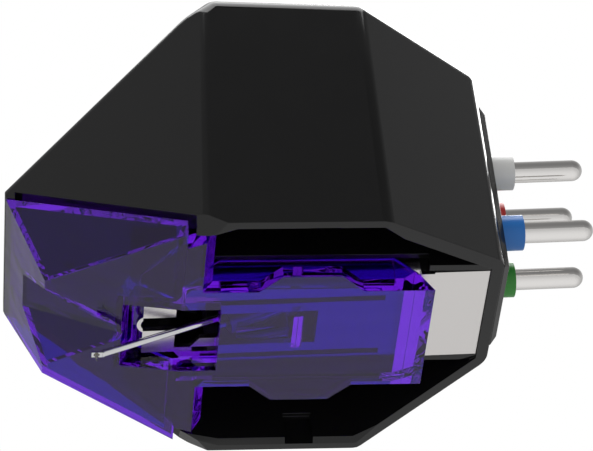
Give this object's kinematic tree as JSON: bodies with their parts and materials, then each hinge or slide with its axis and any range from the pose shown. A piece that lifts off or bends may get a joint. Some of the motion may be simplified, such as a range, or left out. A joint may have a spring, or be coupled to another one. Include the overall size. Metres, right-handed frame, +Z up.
{
  "type": "turntable stylus cartridge",
  "caption": "Moving-magnet turntable cartridge: faceted body with threaded top holes and rear pins, and a clear pull-off stylus holder with its hanging cantilever.",
  "frame": {"origin": "centre of the flat top mounting face, midway between the two threaded holes", "axes": "+X towards the rear, where the output pins stand out; +Y towards the side of the red and green pins; +Z up, away from the record"},
  "size_m": [0.0331, 0.0196, 0.0188],
  "materials": {
    "satin_black_plastic": "satin, dyed black",
    "terminal_plastic": "satin, dark grey",
    "brass_insert": "turned",
    "shield_metal": "pale nickel alloy, fine matt",
    "frame_plastic": "moulded",
    "soft_iron": "annealed",
    "violet_plastic": "clear, dyed violet",
    "tube_metal": "drawn",
    "tie_wire_steel": "drawn wire",
    "damper_rubber": "matt",
    "magnet_metal": "sintered, ground",
    "cantilever_metal": "drawn",
    "diamond": "ground",
    "bobbin_plastic": "moulded",
    "copper_wire": "enamelled copper wire, wound close",
    "pin_metal": "bright plated",
    "sleeve_white": "moulded",
    "sleeve_red": "moulded",
    "sleeve_blue": "moulded",
    "sleeve_green": "moulded"
  },
  "bodies": {
    "cartridge_body": {"body_shell": "satin_black_plastic", "threaded_insert_left": "brass_insert", "threaded_insert_right": "brass_insert", "terminal_plate": "terminal_plastic", "shield_plate": "shield_metal", "generator_frame": "frame_plastic", "rear_yoke": "soft_iron", "upper_pole_left": "soft_iron", "upper_pole_right": "soft_iron", "lower_pole_left": "soft_iron", "lower_pole_right": "soft_iron", "coil_bobbin_upper_left": "bobbin_plastic", "coil_winding_upper_left": "copper_wire", "coil_bobbin_upper_right": "bobbin_plastic", "coil_winding_upper_right": "copper_wire", "coil_bobbin_lower_left": "bobbin_plastic", "coil_winding_lower_left": "copper_wire", "coil_bobbin_lower_right": "bobbin_plastic", "coil_winding_lower_right": "copper_wire", "output_pin_white": "pin_metal", "pin_sleeve_white": "sleeve_white", "output_pin_red": "pin_metal", "pin_sleeve_red": "sleeve_red", "output_pin_blue": "pin_metal", "pin_sleeve_blue": "sleeve_blue", "output_pin_green": "pin_metal", "pin_sleeve_green": "sleeve_green"},
    "stylus_unit": {"stylus_holder": "violet_plastic", "carrier_tube": "tube_metal", "tie_wire_anchor": "tube_metal", "tie_wire": "tie_wire_steel"},
    "damper": {"damper_ring": "damper_rubber"},
    "cantilever_arm": {"cantilever": "cantilever_metal", "magnet": "magnet_metal", "stylus_tip": "diamond"}
  },
  "joints": [
    {"name": "stylus_slide", "type": "slide", "parent": "cartridge_body", "child": "stylus_unit", "axis": [-0.9191, 0, -0.3939], "range_m": [0, 0.012]},
    {"name": "cantilever_lateral", "type": "hinge", "parent": "stylus_unit", "child": "damper", "pos_m": [-0.0006, 0, -0.01495], "axis": [0, 0, 1], "range_deg": [-3, 3], "stiffness_Nm_per_rad": 0.005},
    {"name": "cantilever_vertical", "type": "hinge", "parent": "damper", "child": "cantilever_arm", "pos_m": [-0.0006, 0, -0.01495], "axis": [0, 1, 0], "range_deg": [-2, 4], "stiffness_Nm_per_rad": 0.005}
  ]
}
